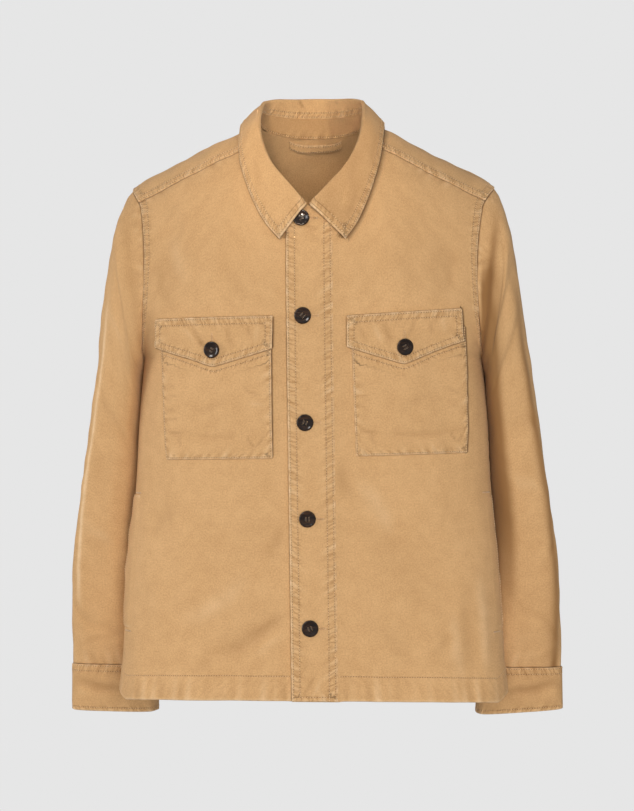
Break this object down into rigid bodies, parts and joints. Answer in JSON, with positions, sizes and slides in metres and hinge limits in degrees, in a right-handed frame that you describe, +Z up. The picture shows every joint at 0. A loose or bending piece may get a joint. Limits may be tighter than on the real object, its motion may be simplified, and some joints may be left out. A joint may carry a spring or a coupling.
{
  "type": "military overshirt",
  "caption": "Hollow tan twill overshirt as worn, with a pointed collar, a buttoned front band, flapped chest pockets, seam pockets and buttoned cuffs.",
  "frame": {"origin": "midway between the shoulder ridges beside the neck, where a wearer carries it", "axes": "+Z up, the front faces -Y, +X to the wearer's left"},
  "size_m": [0.6248, 0.2274, 0.7816],
  "materials": {
    "twill": "washed tan cotton twill",
    "button": "polished dark brown, horn-like"
  },
  "bodies": {
    "root": {"back": "twill", "yoke": "twill", "front_left": "twill", "front_right": "twill", "placket": "twill", "sleeve_left": "twill", "sleeve_right": "twill", "cuff_left": "twill", "cuff_right": "twill", "vent_left": "twill", "vent_right": "twill", "collar_stand": "twill", "collar_leaf": "twill", "hanger_loop": "twill", "pocket_left": "twill", "pocket_right": "twill", "flap_left": "twill", "flap_right": "twill", "welt_left": "twill", "welt_right": "twill", "button_front_1": "button", "button_front_2": "button", "button_front_3": "button", "button_front_4": "button", "button_front_5": "button", "button_flap_left": "button", "button_flap_right": "button", "button_cuff_left": "button", "button_cuff_right": "button"}
  },
  "joints": []
}
